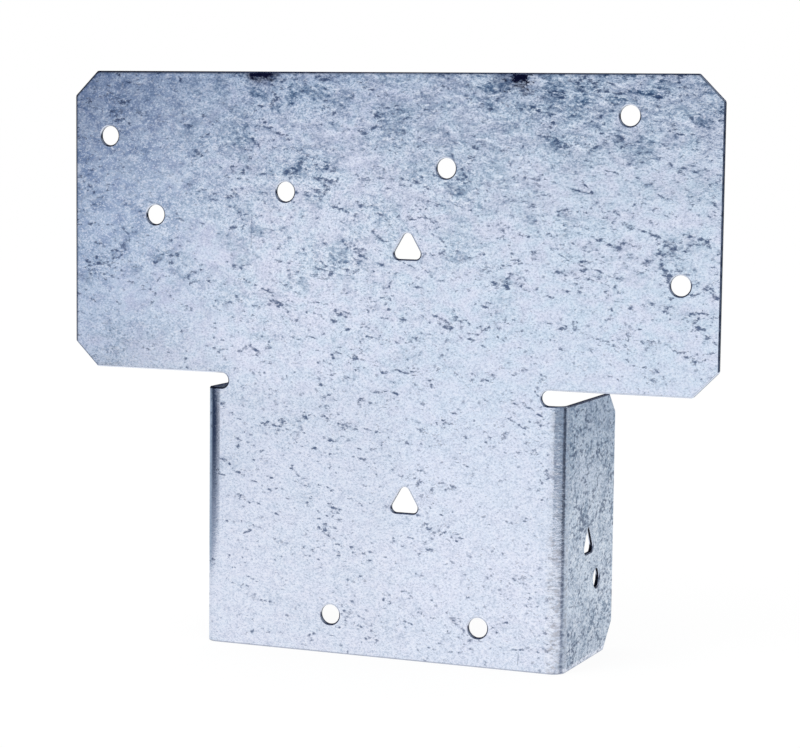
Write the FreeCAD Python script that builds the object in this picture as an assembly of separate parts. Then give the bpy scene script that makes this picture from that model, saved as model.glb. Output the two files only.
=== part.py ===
import FreeCAD, Part
import math
import os

from FreeCAD import Vector

# One half of a two-piece post cap, folded from a single steel sheet. Millimetres.
# X runs along the wing, Y from the front face back to the flanges, Z up.
# The origin is midway between the ends and between front and back, at the lower edge.

# Sheet and folds
sheet = 1.2                  # thickness, about 18 gauge
bend_radius = 2.0            # inside of both folds

# Stem: the channel that closes round the post
post_gap = 90.5              # clear width between the flanges
stem_height = 66.7           # lower edge up to the wing
flange_depth = 38.1          # front face to the flanges' back edges
flange_top_cut = 4.8         # corner taken off each flange at the back, upper
flange_bottom_cut = 6.4      # and lower
relief_height = 3.6          # slot that frees each flange from the wing
relief_length = 6.1          # from a flange's outer face to the slot's round end

# Wing: the plate that laps the side of the beam
wing_length = 165.1
wing_height = 73.0
wing_corner_cut = 6.1

# Round and triangular nail holes
nail_hole = 4.76             # diameter
triangle_inscribed = 5.0     # diameter of the largest circle in a triangular hole
triangle_corner = 1.3        # radius of its corners

# Nail places on the wing, one nail to a row, in rows counted down from the top
top_margin = 9.5             # upper edge to row 0
row_pitch = 6.35
end_margin = 9.5             # wing ends to the outer nails
column_pitch = 12.7          # outer nails to the next ones in
beam_nail_left = 25.4        # nails over the stem, from its centre line
beam_nail_right = 15.9

# Nail places on the stem, in a group set off its centre line so that the nails
# driven from the two halves of the cap pass each other
stem_group_offset = 6.35
stem_nail_pitch = 38.1       # between the two round holes
stem_nail_height = 9.5       # above the lower edge
stem_triangle_height = 38.1

# Nail places on the flanges
flange_nail_inset = 12.7     # in from the back edge
flange_nail_height = 19.05   # above the lower edge
flange_triangle_inset = 19.05
flange_triangle_height = 28.6

# Worked out from the sizes above
front = -flange_depth / 2
back = flange_depth / 2
half_width = post_gap / 2 + sheet
outer_radius = bend_radius + sheet
wing_top = stem_height + wing_height
flange_top = stem_height - relief_height
clear = 2 * sheet            # how far cutting solids reach past the sheet


def prism(points, along):
    """Solid swept along a vector from the closed outline through the points"""
    outline = Part.makePolygon(points + points[:1])
    return Part.Face(outline).extrude(along)


def fold(centre, radius, sign):
    """Quarter circle of a fold's section, from the flange round to the web"""
    middle = radius * math.sqrt(0.5)
    return Part.Arc(centre + Vector(sign * radius, 0, 0),
                    centre + Vector(sign * middle, -middle, 0),
                    centre + Vector(0, -radius, 0)).toShape()


def line(start, end):
    return Part.LineSegment(start, end).toShape()


def flange_section(sign):
    """Edges of one flange's section: outer face and fold, back edge, inner face and fold"""
    centre = Vector(sign * (half_width - outer_radius), front + outer_radius, 0)
    outer = fold(centre, outer_radius, sign)
    inner = fold(centre, bend_radius, sign)
    outer_back = Vector(sign * half_width, back, 0)
    inner_back = outer_back - Vector(sign * sheet, 0, 0)
    return [outer,
            line(outer.valueAt(outer.FirstParameter), outer_back),
            line(outer_back, inner_back),
            line(inner_back, inner.valueAt(inner.FirstParameter)),
            inner]


def channel():
    """Stem: web, two folds and two flanges, as one section drawn up to the wing"""
    web = half_width - outer_radius
    edges = flange_section(-1) + flange_section(1)
    for y in (front, front + sheet):
        edges.append(line(Vector(-web, y, 0), Vector(web, y, 0)))
    section = Part.Wire(Part.__sortEdges__(edges))
    return Part.Face(section).extrude(Vector(0, 0, stem_height))


def wing():
    """Flat plate on the stem, with its four corners cut off"""
    end = wing_length / 2
    cut = wing_corner_cut
    corners = [(-end + cut, stem_height), (end - cut, stem_height),
               (end, stem_height + cut), (end, wing_top - cut),
               (end - cut, wing_top), (-end + cut, wing_top),
               (-end, wing_top - cut), (-end, stem_height + cut)]
    return prism([Vector(x, front, z) for x, z in corners], Vector(0, sheet, 0))


def relief(sign):
    """Cutter for the slot between a flange and the wing, with its round inner end"""
    radius = relief_height / 2
    centre = half_width - relief_length + radius
    middle = flange_top + radius
    depth = flange_depth + 2 * clear
    length = half_width + clear - centre
    corner = centre if sign > 0 else -centre - length
    slot = Part.makeBox(length, depth, relief_height, Vector(corner, front - clear, flange_top))
    end = Part.makeCylinder(radius, depth, Vector(sign * centre, front - clear, middle), Vector(0, 1, 0))
    return slot.fuse(end)


def flange_corners():
    """Cutters for the corners at the back of both flanges"""
    span = Vector(2 * (half_width + clear), 0, 0)
    cutters = []
    for z, cut, up in ((0, flange_bottom_cut, 1), (flange_top, flange_top_cut, -1)):
        leg = cut + 2 * clear
        corner = Vector(-half_width - clear, back + clear, z - up * clear)
        cutters.append(prism([corner,
                              corner - Vector(0, leg, 0),
                              corner + Vector(0, 0, up * leg)], span))
    return cutters


def round_hole(start, along):
    return Part.makeCylinder(nail_hole / 2, along.Length, start, along)


def triangle_hole(start, along, across):
    """Rounded triangle, point up, swept along a vector; across is its level direction"""
    up = Vector(0, 0, 1)

    def spoke(radius, angle):
        turn = math.radians(angle)
        return across * (radius * math.cos(turn)) + up * (radius * math.sin(turn))

    tips = []
    for angle in (90, 210, 330):
        centre = start + spoke(triangle_inscribed - 2 * triangle_corner, angle)
        tips.append(Part.Arc(centre + spoke(triangle_corner, angle - 60),
                             centre + spoke(triangle_corner, angle),
                             centre + spoke(triangle_corner, angle + 60)))
    edges = []
    for tip, following in zip(tips, tips[1:] + tips[:1]):
        edges.append(tip.toShape())
        edges.append(line(tip.EndPoint, following.StartPoint))
    return Part.Face(Part.Wire(edges)).extrude(along)


def row_height(row):
    return wing_top - top_margin - row * row_pitch


def front_holes():
    """Cutters for every hole through the wing and the stem's web"""
    outer = wing_length / 2 - end_margin
    inner = outer - column_pitch
    half_pitch = stem_nail_pitch / 2
    nails = [(inner, row_height(0)), (-outer, row_height(1)), (beam_nail_right, row_height(2)),
             (-beam_nail_left, row_height(3)), (-inner, row_height(4)), (outer, row_height(6)),
             (stem_group_offset - half_pitch, stem_nail_height),
             (stem_group_offset + half_pitch, stem_nail_height)]
    triangles = [(stem_group_offset, row_height(5)), (stem_group_offset, stem_triangle_height)]
    through = Vector(0, sheet + 2 * clear, 0)
    level = Vector(1, 0, 0)
    cutters = [round_hole(Vector(x, front - clear, z), through) for x, z in nails]
    cutters += [triangle_hole(Vector(x, front - clear, z), through, level) for x, z in triangles]
    return cutters


def flange_holes():
    """Cutters for the holes, in line through both flanges"""
    side = -half_width - clear
    through = Vector(2 * (half_width + clear), 0, 0)
    nail = Vector(side, back - flange_nail_inset, flange_nail_height)
    triangle = Vector(side, back - flange_triangle_inset, flange_triangle_height)
    return [round_hole(nail, through), triangle_hole(triangle, through, Vector(0, 1, 0))]


def post_cap():
    blank = channel().fuse(wing()).removeSplitter()
    return blank.cut([relief(-1), relief(1)] + flange_corners() + front_holes() + flange_holes())


cap = post_cap().Solids
assert len(cap) == 1 and cap[0].isValid()
os.makedirs("parts", exist_ok=True)
cap[0].exportStep("parts/post_cap.step")
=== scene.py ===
"""Galvanised post cap half: folded sheet with mottled zinc, on a white floor in soft studio light."""
import math

import bmesh
import bpy
from mathutils import Matrix, Vector


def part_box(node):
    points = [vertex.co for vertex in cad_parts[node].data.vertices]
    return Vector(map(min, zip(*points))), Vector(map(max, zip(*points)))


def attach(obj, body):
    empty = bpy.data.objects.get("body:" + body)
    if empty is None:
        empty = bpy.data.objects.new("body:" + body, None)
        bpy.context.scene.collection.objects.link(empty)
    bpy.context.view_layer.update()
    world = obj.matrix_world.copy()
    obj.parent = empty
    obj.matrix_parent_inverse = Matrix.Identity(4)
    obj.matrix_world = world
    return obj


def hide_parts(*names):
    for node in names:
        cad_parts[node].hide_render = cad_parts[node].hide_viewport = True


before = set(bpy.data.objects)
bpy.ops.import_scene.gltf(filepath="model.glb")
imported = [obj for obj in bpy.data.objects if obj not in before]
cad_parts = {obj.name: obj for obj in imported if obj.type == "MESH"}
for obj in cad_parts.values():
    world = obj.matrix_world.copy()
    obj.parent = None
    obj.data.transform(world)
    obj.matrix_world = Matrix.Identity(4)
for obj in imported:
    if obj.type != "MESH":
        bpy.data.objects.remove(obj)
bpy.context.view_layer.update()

MM = 0.001

# Sizes of the folded sheet in millimetres, in the part's own frame
box_low, box_high = [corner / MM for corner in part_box("post_cap")]
front = box_low.y
back = box_high.y
wing_end = box_high.x
wing_top = box_high.z
sheet = 1.2
bend_radius = 2.0
post_gap = 90.5
stem_height = 66.7
flange_top_cut = 4.8
flange_bottom_cut = 6.4
relief_height = 3.6
relief_length = 6.1
wing_corner_cut = 6.1
nail_hole = 4.76
triangle_inscribed = 5.0
triangle_corner = 1.3
top_margin = 9.5
row_pitch = 6.35
end_margin = 9.5
column_pitch = 12.7
beam_nail_left = 25.4
beam_nail_right = 15.9
stem_group_offset = 6.35
stem_nail_pitch = 38.1
stem_nail_height = 9.5
stem_triangle_height = 38.1
flange_nail_inset = 12.7
flange_nail_height = 19.05
flange_triangle_inset = 19.05
flange_triangle_height = 28.6

half_width = post_gap / 2 + sheet
outer_radius = bend_radius + sheet
web_edge = half_width - outer_radius
fold_line = front + outer_radius
flange_top = stem_height - relief_height
edge_round = 0.36            # roll-over left by the shears and punches
edge_margin = 0.45           # even strip of faces along every cut edge
hole_steps = 48
tip_steps = 8
slot_steps = 16
fold_steps = 14
round_steps = 3
edge_angle = 40              # degrees; edges sharper than this are cut edges, and get rounded


class Pen:
    """Draws a closed run of edges in a panel's flat plan, with straight lines and arcs"""

    def __init__(self, plan, u, v):
        self.plan = plan
        self.first = plan.verts.new((u, v, 0))
        self.at = self.first

    def line(self, *points):
        for u, v in points:
            corner = self.plan.verts.new((u, v, 0))
            self.plan.edges.new((self.at, corner))
            self.at = corner

    def arc(self, u, v, degrees, steps):
        made = bmesh.ops.spin(self.plan, geom=[self.at], cent=(u, v, 0), axis=(0, 0, 1),
                              angle=math.radians(degrees), steps=steps)
        self.at = next(item for item in made["geom_last"] if isinstance(item, bmesh.types.BMVert))

    def close(self):
        self.plan.edges.new((self.at, self.first))


def round_hole(plan, u, v):
    bmesh.ops.create_circle(plan, segments=hole_steps, radius=nail_hole / 2,
                            matrix=Matrix.Translation((u, v, 0)))


def triangle_hole(plan, u, v):
    """Rounded triangle, point up"""
    reach = triangle_inscribed - 2 * triangle_corner
    pen = None
    for direction in (90, 210, 330):
        turn = math.radians(direction)
        tip = Vector((u + reach * math.cos(turn), v + reach * math.sin(turn)))
        side = math.radians(direction - 60)
        start = tip + triangle_corner * Vector((math.cos(side), math.sin(side)))
        if pen:
            pen.line(start)
        else:
            pen = Pen(plan, *start)
        pen.arc(tip.x, tip.y, 120, tip_steps)
    pen.close()


def fill(plan):
    """Sheet over everything drawn in the plan, open at the holes"""
    bmesh.ops.triangle_fill(plan, use_beauty=True, edges=plan.edges[:], normal=(0, 0, 1))


def row_height(row):
    return wing_top - top_margin - row * row_pitch


def front_panel():
    """Stem's web and the wing, drawn flat: u is along the wing, v up"""
    plan = bmesh.new()
    slot = relief_height / 2
    slot_end = half_width - relief_length + slot
    cut = wing_corner_cut
    pen = Pen(plan, -web_edge, 0)
    pen.line((web_edge, 0), (web_edge, flange_top), (slot_end, flange_top))
    pen.arc(slot_end, flange_top + slot, -180, slot_steps)
    pen.line((wing_end - cut, stem_height), (wing_end, stem_height + cut),
             (wing_end, wing_top - cut), (wing_end - cut, wing_top),
             (cut - wing_end, wing_top), (-wing_end, wing_top - cut),
             (-wing_end, stem_height + cut), (cut - wing_end, stem_height),
             (-slot_end, stem_height))
    pen.arc(-slot_end, flange_top + slot, -180, slot_steps)
    pen.line((-web_edge, flange_top))
    pen.close()
    outer = wing_end - end_margin
    inner = outer - column_pitch
    half_pitch = stem_nail_pitch / 2
    for u, v in ((inner, row_height(0)), (-outer, row_height(1)), (beam_nail_right, row_height(2)),
                 (-beam_nail_left, row_height(3)), (-inner, row_height(4)), (outer, row_height(6)),
                 (stem_group_offset - half_pitch, stem_nail_height),
                 (stem_group_offset + half_pitch, stem_nail_height)):
        round_hole(plan, u, v)
    triangle_hole(plan, stem_group_offset, row_height(5))
    triangle_hole(plan, stem_group_offset, stem_triangle_height)
    fill(plan)
    stand = Matrix.Translation((0, front, 0)) @ Matrix.Rotation(math.radians(90), 4, "X")
    plan.transform(stand)
    return plan


def flange_panel():
    """Right flange, drawn flat with u towards its back edge and v up, then its fold to the web"""
    plan = bmesh.new()
    pen = Pen(plan, fold_line, 0)
    pen.line((back - flange_bottom_cut, 0), (back, flange_bottom_cut),
             (back, flange_top - flange_top_cut), (back - flange_top_cut, flange_top),
             (fold_line, flange_top))
    pen.close()
    round_hole(plan, back - flange_nail_inset, flange_nail_height)
    triangle_hole(plan, back - flange_triangle_inset, flange_triangle_height)
    fill(plan)
    side = Matrix(((0, 0, 1, half_width), (1, 0, 0, 0), (0, 1, 0, 0), (0, 0, 0, 1)))
    plan.transform(side)
    fold = [edge for edge in plan.edges if all(abs(v.co.y - fold_line) < MM for v in edge.verts)]
    bmesh.ops.spin(plan, geom=fold + list({v for edge in fold for v in edge.verts}),
                   cent=(web_edge, fold_line, 0), axis=(0, 0, 1),
                   angle=math.radians(-90), steps=fold_steps)
    bmesh.ops.mirror(plan, geom=plan.verts[:] + plan.edges[:] + plan.faces[:], axis="X", merge_dist=MM)
    return plan


def shown(name, data):
    thing = bpy.data.objects.new(name, data)
    bpy.context.scene.collection.objects.link(thing)
    return thing


def folded_sheet(*finishes):
    """Outer face of the sheet, given its thickness and rounded cut edges. Its finishes are those of the
    skin, of the cut edges and of their rounding"""
    surface = bpy.data.meshes.new("folded_sheet")
    whole = bmesh.new()
    for panel in (front_panel(), flange_panel()):
        panel.to_mesh(surface)
        whole.from_mesh(surface)
        panel.free()
    bmesh.ops.remove_doubles(whole, verts=whole.verts[:], dist=MM)
    bmesh.ops.recalc_face_normals(whole, faces=whole.faces[:])
    widest = max(whole.faces, key=lambda face: face.calc_area())
    if widest.normal.y > 0:
        bmesh.ops.reverse_faces(whole, faces=whole.faces[:])
    bmesh.ops.inset_region(whole, faces=whole.faces[:], use_boundary=True, use_even_offset=True,
                           thickness=edge_margin)
    for face in whole.faces:
        face.smooth = True
    bmesh.ops.scale(whole, vec=(MM, MM, MM), verts=whole.verts[:])
    whole.to_mesh(surface)
    whole.free()
    for finish in finishes:
        surface.materials.append(finish)
    piece = shown("folded_sheet", surface)
    wall = piece.modifiers.new("thickness", "SOLIDIFY")
    wall.thickness = sheet * MM
    wall.offset = -1
    wall.use_even_offset = True
    wall.material_offset_rim = 1
    rounding = piece.modifiers.new("cut_edges", "BEVEL")
    rounding.width = edge_round * MM
    rounding.segments = round_steps
    rounding.limit_method = "ANGLE"
    rounding.angle_limit = math.radians(edge_angle)
    rounding.harden_normals = True
    rounding.material = 2
    return piece


class Value:
    """One output of a node; sums on it add Math nodes"""

    def __init__(self, graph, socket):
        self.graph = graph
        self.socket = socket

    def math(self, operation, first, second):
        return self.graph.node("ShaderNodeMath", {"operation": operation}, {0: first, 1: second})

    def __add__(self, other):
        return self.math("ADD", self, other)

    def __radd__(self, other):
        return self.math("ADD", other, self)

    def __sub__(self, other):
        return self.math("SUBTRACT", self, other)

    def __rsub__(self, other):
        return self.math("SUBTRACT", other, self)

    def __mul__(self, other):
        return self.math("MULTIPLY", self, other)

    def __rmul__(self, other):
        return self.math("MULTIPLY", other, self)

    def __abs__(self):
        return self.math("ABSOLUTE", self, 0.0)


class Graph:
    """The nodes of a material or of the world"""

    def __init__(self, owner):
        owner.use_nodes = True
        self.owner = owner
        self.tree = owner.node_tree
        self.tree.nodes.clear()

    def node(self, kind, settings=None, inputs=None, output=0):
        made = self.tree.nodes.new(kind)
        for name, setting in (settings or {}).items():
            setattr(made, name, setting)
        for name, given in (inputs or {}).items():
            if isinstance(given, Value):
                self.tree.links.new(given.socket, made.inputs[name])
            else:
                made.inputs[name].default_value = given
        return Value(self, made.outputs[output]) if made.outputs else None

    def vector(self, operation, first, second):
        return self.node("ShaderNodeVectorMath", {"operation": operation}, {0: first, 1: second})

    def noise(self, place, size, detail, roughness, output=0):
        """Cloudy noise with features of about the given size"""
        return self.node("ShaderNodeTexNoise", None, {
            "Vector": place, "Scale": 1 / size, "Detail": detail, "Roughness": roughness}, output)

    def stirred(self, place, size, reach):
        """The place, pushed about by noise of the given size"""
        push = self.vector("SUBTRACT", self.noise(place, size, 2, 0.5, "Color"), (0.5, 0.5, 0.5))
        return self.vector("ADD", place, self.vector("MULTIPLY", push, (reach, reach, reach)))

    def spots(self, place, size):
        """Distance in mm from the nearest of many scattered points, about size apart"""
        return size * self.node("ShaderNodeTexVoronoi", None, {"Vector": place, "Scale": 1 / size})

    def rise(self, value, low, high):
        """0 at low, 1 at high, smooth between and level beyond"""
        return self.node("ShaderNodeMapRange", {"interpolation_type": "SMOOTHSTEP"},
                         {"Value": value, "From Min": low, "From Max": high})

    def mix(self, factor, first, second):
        return self.node("ShaderNodeMix", {"data_type": "RGBA"}, {0: factor, 6: first, 7: second}, 2)

    def place_in_mm(self):
        spot = self.node("ShaderNodeTexCoord", None, None, "Object")
        return self.node("ShaderNodeVectorMath", {"operation": "SCALE"}, {0: spot, "Scale": 1 / MM})

    def axes(self, place):
        split = self.node("ShaderNodeSeparateXYZ", None, {0: place}).socket.node
        return [Value(self, split.outputs[axis]) for axis in "XYZ"]

    def shown_white(self):
        """1 for what the camera sees directly, in gloss or through glass"""
        path = self.node("ShaderNodeLightPath").socket.node
        rays = [Value(self, path.outputs[f"Is {kind} Ray"]) for kind in ("Camera", "Glossy", "Transmission")]
        return rays[0] + rays[1] + rays[2]

    def surface(self, kind, shader):
        self.node(f"ShaderNodeOutput{kind}", None, {"Surface": shader})
        return self.owner


def colour(red, green, blue):
    """A colour given as it shows on screen, 0 to 255"""
    def linear(level):
        level /= 255
        return level / 12.92 if level <= 0.04045 else ((level + 0.055) / 1.055) ** 2.4
    return (linear(red), linear(green), linear(blue), 1)


white = (1, 1, 1, 1)
clean_zinc = colour(226, 228, 245)
hazy_zinc = colour(212, 224, 240)
slate_zinc = colour(97, 126, 158)
# painted shade: a darker blue laid over the wing's upper left
painted_blue_shade = colour(88, 124, 184)
dark_zinc = colour(64, 84, 120)
bright_zinc = colour(243, 245, 253)
scuffed_zinc = colour(180, 181, 190)
# painted shade: the darkest navy, laid in the left fold, along edges and under the upper edge
painted_shade_navy = colour(10, 14, 46)
# painted shade and light on the rounded cut edges
painted_edge_shade = colour(70, 78, 102)
painted_edge_shade_worn = colour(128, 136, 158)
painted_edge_shade_deep = colour(34, 42, 68)
painted_edge_light = colour(214, 221, 236)
sheared_steel = colour(18, 20, 32)
sheared_streak = colour(52, 58, 76)
sheared_steel_lit = colour(190, 198, 216)

# Wear and painted shade on the front face, in millimetres: fine scratches from (x, z) to (x, z), and
# painted shadows and their halos below the wing's upper edge, given by the x of the middle, the reach to
# both sides, the depth, how far the outline wanders, and the strength
scratches = (((-34.1, 106.0), (-34.3, 97.0)),
             ((-40.6, 111.2), (-41.3, 108.3)),
             ((35.8, 4.8), (35.6, 1.2)))
scratch_reach = 0.22
scratch_core = 0.05
scratch_fade = 0.8
shadow_halos = ((-31.2, 6.5, 4.6, 4.0, 0.6),
         (31.6, 6.6, 6.0, 4.0, 0.6))
painted_shadows = ((-31.8, 5.4, 3.0, 4.0, 1.3),
           (33.9, 3.4, 4.6, 12.0, 1.1))
zinc_relief = 0.09           # millimetres


def scratch(g, x, z, start, end):
    """1 on a fine straight scratch over the front face, between two places given as (x, z)"""
    run = Vector(end) - Vector(start)
    along = run.normalized()
    middle = (Vector(start) + Vector(end)) / 2
    half = run.length / 2
    u = (x - middle.x) * along.x + (z - middle.y) * along.y
    w = (x - middle.x) * along.y - (z - middle.y) * along.x
    return g.rise(abs(u), half, half - scratch_fade) * g.rise(abs(w), scratch_reach, scratch_core)


def shadow_mark(g, x, z, ragged, middle, reach, depth, wander, strength):
    """Painted shadow that hangs from the wing's upper edge and fades outwards"""
    side = g.rise(abs(x - middle) + wander * ragged, reach, 0.3 * reach)
    return strength * (side * g.rise(wing_top - z + wander * ragged, depth, 0.15 * depth))


class Zinc:
    """Galvanised skin: where a point of it lies on the part, its textures, and the tones laid over them"""

    def __init__(self, g):
        self.g = g
        self.spot = g.place_in_mm()
        self.x, self.y, self.z = g.axes(self.spot)
        self.across = abs(self.x)
        self.find_places()
        self.lay_textures()
        self.scatter_marks()

    def find_places(self):
        """Masks of the part's regions"""
        g = self.g
        self.on_face = g.rise(self.y, front + 0.8 * sheet, front + 0.4 * sheet)
        self.on_stem = g.rise(self.z, stem_height, flange_top)
        self.on_flange = g.rise(self.y, fold_line - 0.5, fold_line + 1.2)
        self.on_bend = self.on_stem * g.rise(self.y, fold_line + 0.4, fold_line - 0.2)
        self.on_right = g.rise(self.x, 0.0, 10.0)
        self.on_left = 1 - self.on_right
        self.right_wing = self.on_face * g.rise(self.x, 15.0, 45.0) * g.rise(self.z, 78.0, 98.0)
        self.right_bend = self.on_bend * self.on_right
        self.scuffed = self.right_bend * g.rise(self.across, web_edge - 1.5, web_edge + 0.6)

    def lay_textures(self):
        """Noises from the widest patches to the finest grain"""
        g = self.g
        level = g.vector("MULTIPLY", self.spot, (0.75, 0.55, 1.0))
        flow = g.stirred(level, 9.0, 5.0)
        torn = g.stirred(level, 0.5, 0.7)
        drawn = g.node("ShaderNodeMapping", {"vector_type": "TEXTURE"}, {
            "Vector": self.spot, "Rotation": (0.0, math.radians(18.0), 0.0), "Scale": (2.2, 1.6, 1.0)})
        drawn = g.stirred(drawn, 3.0, 2.2)
        self.busy = g.rise(g.noise(flow, 14.0, 2, 0.5), 0.40, 0.62)
        self.patch = g.noise(flow, 10.0, 3, 0.55)
        self.hammer = g.noise(flow, 3.4, 1, 0.8)
        self.tuft = g.rise(g.noise(drawn, 3.2, 2, 0.6), 0.49, 0.59)
        self.stroke = g.rise(abs(g.noise(drawn, 5.0, 1, 0.5) - 0.5), 0.050, 0.010)
        self.dot = g.rise(g.spots(g.stirred(level, 0.6, 1.0), 2.7), 0.50, 0.15)
        self.blob = g.noise(flow, 1.6, 1, 0.8)
        self.ragged = g.noise(torn, 0.9, 3, 0.7) - 0.5
        self.dragged = g.noise(g.vector("MULTIPLY", self.spot, (0.45, 0.45, 1.0)), 0.8, 3, 0.7)
        self.grit = g.noise(g.vector("MULTIPLY", torn, (0.75, 0.9, 1.0)), 0.75, 2, 0.6)
        self.grain = g.noise(level, 0.45, 1, 1.0)

    def scatter_marks(self):
        """How thickly the zinc is mottled, and its clumps and specks, which gather towards the top; the
        mottling is also made denser towards the top and the left as painted shade
        """
        g, x, z = self.g, self.x, self.z
        # Partly real mottling, partly painted shade: more mottled and darker towards the top and the left
        slant = (g.rise(z, 40.0, 165.0) + 0.25 * g.rise(x, -20.0, -90.0)
                 - 0.4 * self.on_face * g.rise(x, -5.0, 65.0) * g.rise(z, 132.0, 117.0))
        self.mottle_and_shade = g.rise(1.6 * (self.patch - 0.5) + slant + 0.8 * self.on_flange, 0.0, 1.1)
        self.clump = (self.mottle_and_shade + 0.25 * self.right_wing) * (0.4 + 0.6 * self.busy) * self.tuft
        crowd = (0.024 * self.right_wing
                 + self.on_face * (0.012 * g.rise(z, 30.0, 60.0) - 0.03 * g.rise(x, -25.0, -50.0)))
        speck = (self.grit + (0.09 + 0.05 * self.busy) * self.stroke + 0.02 * self.busy
                 + 0.03 * self.mottle_and_shade + 0.07 * self.clump + 0.07 * self.on_flange + crowd)
        self.mark = g.rise(speck, 0.636, 0.852)

    def mottled(self):
        """Pale zinc with painted blue shade at the upper left and painted shade beside the folds, under
        slate clouds, grain, clumps and specks
        """
        g, y, z = self.g, self.y, self.z
        depth = 0.2 + 0.8 * self.mottle_and_shade
        # Painted shade: darker and bluer towards the wing's upper left
        upper_left_shade = 0.32 * self.on_face * g.rise(self.x, -25.0, -80.0) * g.rise(z, 60.0, 120.0)
        bluish = g.rise(0.5 * (self.patch + self.hammer) + 0.6 * upper_left_shade, 0.36, 0.62)
        swing = 0.35 + 0.65 * g.rise(z, 45.0, 90.0)
        tone = g.mix(0.5 + (bluish - 0.5) * swing, clean_zinc, hazy_zinc)
        tone = g.mix(upper_left_shade * (0.45 + 1.1 * g.rise(self.hammer, 0.62, 0.36)), tone, painted_blue_shade)
        tone = g.mix(0.34 * depth * g.rise(self.hammer, 0.54, 0.30), tone, slate_zinc)
        tone = g.mix((0.12 + 0.26 * self.mottle_and_shade - upper_left_shade) * g.rise(self.blob, 0.46, 0.76), tone, slate_zinc)
        # Painted shade over each fold and the flange just beyond it, on the stem's upper part
        beside = g.rise(y, front + 1.0, front + 1.8) * g.rise(y, fold_line + 3.65, fold_line + 0.65)
        tone = g.mix(0.5 * self.on_stem * beside * g.rise(z, 25.0, 52.0), tone, slate_zinc)
        tone = g.mix((0.5 * depth + 0.1 * self.on_flange) * g.rise(self.blob, 0.48, 0.24), tone, bright_zinc)
        tone = g.mix((0.20 + 0.44 * depth - upper_left_shade) * g.rise(self.grain, 0.50, 0.30), tone, slate_zinc)
        tone = g.mix((0.35 + 0.50 * depth) * g.rise(self.grain, 0.50, 0.70), tone, bright_zinc)
        tone = g.mix((0.9 - 2.4 * upper_left_shade) * self.clump * g.rise(self.grit, 0.36, 0.56), tone, slate_zinc)
        tone = g.mix(0.9 * self.mark, tone, dark_zinc)
        return g.mix((0.5 + 0.35 * self.stroke - 0.3 * self.mottle_and_shade) * self.dot, tone, dark_zinc)

    def worn_and_shaded_folds(self, tone):
        """Scuffs over the right fold, most at its foot, painted shade where the folds turn, and a thin
        broken painted dark line beside the scuffs, in place of a dark reflection
        """
        g, across, dragged = self.g, self.across, self.dragged
        foot = g.rise(self.z, 45.0, 25.0)
        streaks = (0.35 + 0.35 * foot) * g.rise(dragged, 0.46, 0.60)
        tone = g.mix(self.scuffed * (0.1 + streaks), tone, scuffed_zinc)
        tone = g.mix(0.5 * self.scuffed * foot * g.rise(dragged, 0.46, 0.36), tone, bright_zinc)
        # Painted shade where the folds turn, at their foot
        fold_shade = g.rise(across, web_edge + 0.8, web_edge + 2.2)
        tone = g.mix(0.12 * self.on_bend * foot * fold_shade, tone, slate_zinc)
        # Painted dark line beside the right fold, standing in for a dark reflection
        line = g.rise(abs(across - (web_edge + 2.6)), 0.42, 0.08)
        broken = 0.08 + 0.22 * foot + 0.4 * g.rise(dragged, 0.42, 0.60)
        return g.mix(self.right_bend * (line * broken), tone, dark_zinc)

    def shade_and_scratches(self, tone):
        """Painted shade inside the left fold and along the wing's top and left edges, scratches, and painted
        shadows hanging from the upper edge
        """
        g, x, y, z = self.g, self.x, self.y, self.z
        # Painted shade on the inner face of the left flange, near the top of its fold
        inside = g.rise(self.across, half_width - 0.4 * sheet, half_width - 0.8 * sheet)
        tucked = g.rise(y, front + 1.5, front + 2.5) * g.rise(y, 0.0, -9.0) * g.rise(z, 54.0, 60.0)
        tone = g.mix(0.85 * self.on_left * inside * tucked, tone, painted_shade_navy)
        scores = sum(scratch(g, x, z, start, end) for start, end in scratches)
        tone = g.mix(0.40 * self.on_face * scores, tone, dark_zinc)
        # Painted shade: dark strips along the wing's top edge, stronger to the left, and along its left end
        # and upper left corner
        corner = wing_top - z + wing_end - self.across - wing_corner_cut
        left_rim = (g.rise(wing_end - self.across, 0.85, 0.35)
                    + g.rise(corner, 1.1, 0.5) * g.rise(z, 120.0, 130.0))
        top_rim = (0.3 + 0.4 * g.rise(x, 30.0, -60.0)) * g.rise(wing_top - z, 0.85, 0.35)
        tone = g.mix(top_rim + 0.65 * self.on_left * left_rim, tone, painted_shade_navy)
        # Painted shadows hanging from the wing's upper edge, with grey halos round them
        for marks, shade in ((shadow_halos, dark_zinc), (painted_shadows, painted_shade_navy)):
            shadowed = sum(shadow_mark(g, x, z, self.ragged, *mark) for mark in marks)
            tone = g.mix(self.on_face * shadowed, tone, shade)
        return tone

    def relief(self):
        """Hammered waves where the zinc is mottled, grain, pits at the marks, and folds that start softly"""
        easing = self.on_stem * self.g.rise(self.across, web_edge - 1.0, web_edge + 1.0)
        waves = self.mottle_and_shade * (self.hammer + 0.6 * self.blob)
        pits = self.on_face * (0.22 * self.mark + 0.5 * self.clump * self.grit)
        return waves + 0.15 * self.grain - 1.4 * easing + 0.8 * self.scuffed * self.grit - pits


def galvanised():
    """Zinc skin: grainy all over, clean and pale low on the stem with scattered dark specks and short
    wavy strokes, and more and more blotched with slate towards the top, partly as painted shade"""
    g = Graph(bpy.data.materials.new("galvanised_zinc"))
    zinc = Zinc(g)
    tone = zinc.shade_and_scratches(zinc.worn_and_shaded_folds(zinc.mottled()))
    bump = g.node("ShaderNodeBump", None,
                  {"Strength": 1.0, "Distance": zinc_relief * MM, "Height": zinc.relief()})
    return g.surface("Material", g.node("ShaderNodeBsdfPrincipled", None, {
        "Base Color": tone, "Metallic": 0.9 + 0.1 * zinc.on_bend * zinc.on_left,
        "Roughness": 0.16 + 0.06 * zinc.mottle_and_shade, "Normal": bump}))


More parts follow.
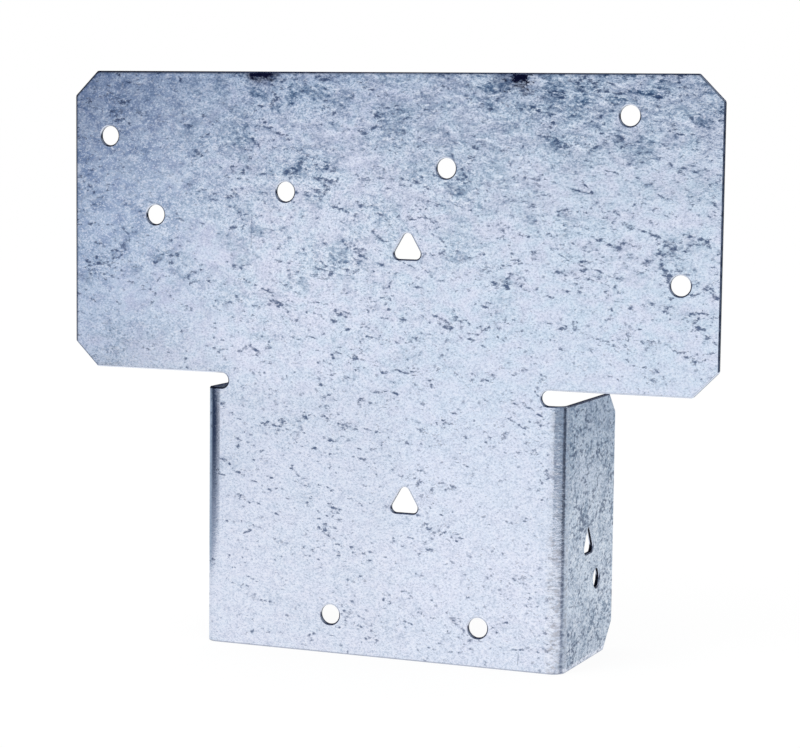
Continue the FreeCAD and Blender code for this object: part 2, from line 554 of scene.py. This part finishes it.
def facing(g):
    """How far the surface faces right, back and up"""
    return g.axes(g.node("ShaderNodeNewGeometry", None, None, "Normal"))


def up_and_right(g, low, high):
    """1 where the surface faces up and to the right, where painted light falls on the cuts"""
    right, _, up = facing(g)
    return g.rise(right, low, high) * g.rise(up, low, high)


def rolled_edge():
    """Rounded cut edges, painted dark as shade, darker on faces turned right and on upward faces at the
    left, painted pale as reflected light where they face down or up and to the right, and as pale as the
    skin where they start to roll into a hole"""
    g = Graph(bpy.data.materials.new("rolled_edge"))
    spot = g.place_in_mm()
    x, _, z = g.axes(spot)
    right, out, up = facing(g)
    punched = g.rise(wing_end - abs(x), 2.0, 3.0) * g.rise(wing_top - z, 2.0, 3.0) * g.rise(z, 2.0, 3.0)
    worn = g.rise(g.noise(spot, 1.6, 2, 0.6), 0.35, 0.65)
    tone = g.mix(worn, painted_edge_shade, painted_edge_shade_worn)
    # Painted shade where the edge faces right, and where it faces up on the left
    upper_left = g.rise(up, 0.02, 0.25) * g.rise(x, 20.0, -60.0)
    tone = g.mix(g.rise(right, -0.02, -0.25) + 0.8 * upper_left, tone, painted_edge_shade_deep)
    start = punched * g.rise(abs(out), 0.80, 0.94) * g.rise(right, 0.0, 0.15) * g.rise(up, 0.25, 0.10)
    tone = g.mix(start, tone, clean_zinc)
    # Painted reflected light where the edge faces down, and painted light where it faces up and to the right
    pale = g.rise(up, -0.02, -0.22) * (0.6 + 0.4 * g.rise(z, 0.5, 1.0))
    tone = g.mix(pale + 0.8 * up_and_right(g, 0.15, 0.35), tone, painted_edge_light)
    return g.surface("Material", g.node("ShaderNodeBsdfPrincipled", None, {
        "Base Color": tone, "Metallic": 0.9, "Roughness": 0.25}))


def cut_steel():
    """Sheared edge: dark with broken streaks across the thickness, and painted light where it faces up and
    to the right
    """
    g = Graph(bpy.data.materials.new("sheared_edge"))
    torn = g.noise(g.place_in_mm(), 0.8, 3, 0.6)
    tone = g.mix(g.rise(torn, 0.45, 0.7), sheared_steel, sheared_streak)
    # Painted light on cut faces turned up and to the right
    tone = g.mix(0.8 * up_and_right(g, 0.30, 0.55), tone, sheared_steel_lit)
    return g.surface("Material", g.node("ShaderNodeBsdfPrincipled", None, {
        "Base Color": tone, "Metallic": 0.8, "Roughness": 0.42}))


# The studio, in millimetres, with turns in degrees
floor_size = 40000.0
floor_glow = 0.92            # the rest of the floor's white is lit, and takes the part's shadow
lying = (0, 0, 0)
standing_across = (90, 0, 0)
standing_along = (90, 0, 90)
left_place = (-140.0, -130.0, 200.0)
back_floor_place = (1546.8, 1475.0, 1.0)
grey_card = (0.24, 0.31, 0.39, 1)
dark_card = (0.03, 0.055, 0.10, 1)
rear_card = (0.05, 0.06, 0.10, 1)
top_card = (0.03, 0.04, 0.08, 1)


def flat(name, width, depth, material):
    """Level rectangle about the origin"""
    mesh = bpy.data.meshes.new(name)
    square = bmesh.new()
    bmesh.ops.create_grid(square, x_segments=1, y_segments=1, size=0.5)
    bmesh.ops.scale(square, vec=(width * MM, depth * MM, 1), verts=square.verts[:])
    square.to_mesh(mesh)
    square.free()
    mesh.materials.append(material)
    return shown(name, mesh)


def white_floor():
    """White to the camera and in reflections, with a trace of the part's shadow"""
    g = Graph(bpy.data.materials.new("white_floor"))
    matt = g.node("ShaderNodeBsdfDiffuse", None, {"Color": white})
    glow = g.node("ShaderNodeEmission", None, {"Color": white, "Strength": 1.0})
    return g.surface("Material", g.node("ShaderNodeMixShader", None, {
        0: floor_glow * g.shown_white(), 1: matt, 2: glow}))


def floor():
    flat("floor", floor_size, floor_size, white_floor())


def flag(name, width, height, place, turn, tone):
    """Studio flag: a card that only the metal's reflections show, in one tone or shaded over its face"""
    g = Graph(bpy.data.materials.new(name))
    if callable(tone):
        u, v, _ = g.axes(g.place_in_mm())
        tone = tone(g, u, v)
    g.surface("Material", g.node("ShaderNodeEmission", None, {"Color": tone, "Strength": 1.0}))
    card = flat(name, width, height, g.owner)
    card.location = Vector(place) * MM
    card.rotation_euler = [math.radians(angle) for angle in turn]
    card.visible_camera = False
    card.visible_diffuse = False
    card.visible_transmission = False
    card.visible_shadow = False


def front_floor_shade(g, u, v):
    """White at the part, a little greyer in the middle, paler again towards the front"""
    near = g.mix(g.rise(v, 920.0, 380.0), white, (0.885, 0.93, 0.955, 1))
    return g.mix(g.rise(v, -100.0, -700.0), near, (0.95, 0.98, 0.99, 1))


def front_shade(g, u, v):
    """Carries on from the floor, darker with height"""
    low = g.mix(g.rise(v, -1410.0, -1315.0), (0.945, 0.98, 0.99, 1), (0.19, 0.28, 0.40, 1))
    return g.mix(g.rise(v, -1315.0, -600.0), low, (0.132, 0.22, 0.33, 1))


def left_shade(g, u, v):
    """Beside the wing, grey to pale with distance and dark at the edge; beside the stem, dark to pale
    downwards"""
    y = u + left_place[1]
    z = v + left_place[2]
    open_side = g.mix(g.rise(z, 95.0, 155.0), (0.94, 0.955, 0.97, 1), (0.42, 0.50, 0.63, 1))
    wing_side = g.mix(g.rise(z, 90.0, 145.0), (0.59, 0.65, 0.75, 1), (0.07, 0.11, 0.22, 1))
    wing_side = g.mix(g.rise(y, -70.0, -270.0), wing_side, open_side)
    wing_side = g.mix(g.rise(y, -100.0, -70.0), wing_side, (0.03, 0.04, 0.06, 1))
    stem_side = g.mix(g.rise(z, 40.0, -2.0), (0.012, 0.028, 0.07, 1), (0.44, 0.49, 0.57, 1))
    stem_side = g.mix(g.rise(y, -105.0, -215.0), stem_side, open_side)
    stem_side = g.mix(g.rise(y, -62.0, 10.0), stem_side, (0.44, 0.52, 0.60, 1))
    return g.mix(g.rise(z, 49.0, 55.0), stem_side, wing_side)


def back_floor_shade(g, u, v):
    """Grey beside the flange, darker further back"""
    y = v + back_floor_place[1]
    far = g.mix(g.rise(y, 150.0, 550.0), (0.78, 0.83, 0.85, 1), (0.42, 0.50, 0.57, 1))
    return g.mix(g.rise(y, 60.0, 25.0), far, (0.68, 0.73, 0.76, 1))


def flags():
    """Cards round the part, each with its width, height, place, turn and tone"""
    for name, *card in (
            ("front_floor_flag", 5000.0, 2000.0, (-500.0, -1020.0, 1.0), lying, front_floor_shade),
            ("front_flag", 6000.0, 3000.0, (-900.0, -2000.0, 1500.0), standing_across, front_shade),
            ("top_flag", 6000.0, 6000.0, (0.0, 0.0, 3000.0), lying, top_card),
            ("rear_flag", 6000.0, 3000.0, (0.0, 2000.0, 1520.0), standing_across, rear_card),
            ("left_flag", 460.0, 400.0, left_place, standing_along, left_shade),
            ("right_front_flag", 140.0, 400.0, (135.0, -250.0, 200.0), standing_across, grey_card),
            ("right_flag", 280.0, 400.0, (205.0, -110.0, 200.0), standing_along, grey_card),
            ("right_dark_flag", 80.0, 400.0, (200.0, -20.0, 200.0), standing_along, dark_card),
            ("back_floor_flag", 3000.0, 3000.0, back_floor_place, lying, back_floor_shade)):
        flag(name, *card)


def lamp():
    """Soft round light at the front left, which the metal doesn't mirror"""
    place = Vector((-500.0, -900.0, 900.0)) * MM
    aim = Vector((0.0, 0.0, 70.0)) * MM
    light = bpy.data.lights.new("front_light", "AREA")
    light.shape = "DISK"
    light.size = 800.0 * MM
    light.energy = 6.0
    holder = shown("front_light", light)
    holder.location = place
    holder.rotation_euler = (aim - place).to_track_quat("-Z", "Y").to_euler()
    holder.visible_glossy = False


def white_room():
    """White all round, at a plain level"""
    g = Graph(bpy.data.worlds.new("white_room"))
    g.surface("World", g.node("ShaderNodeBackground", None, {"Color": white, "Strength": 1.0}))
    bpy.context.scene.world = g.owner


def camera():
    """Standing to the right of the part and a little above its middle, tipped a little"""
    place = Vector((232.3, -571.3, 130.1)) * MM
    aim = Vector((4.95, front, 68.76)) * MM
    tip = math.radians(0.657)
    view = bpy.data.cameras.new("camera")
    view.lens = 114.18
    view.sensor_width = 36.0
    holder = shown("camera", view)
    holder.location = place
    turn = (aim - place).to_track_quat("-Z", "Y").to_matrix() @ Matrix.Rotation(tip, 3, "Z")
    holder.rotation_euler = turn.to_euler()
    bpy.context.scene.camera = holder


cap = folded_sheet(galvanised(), cut_steel(), rolled_edge())
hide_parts("post_cap")
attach(cap, "root")
floor()
white_room()
lamp()
flags()
camera()
bpy.context.scene.view_settings.view_transform = "Standard"
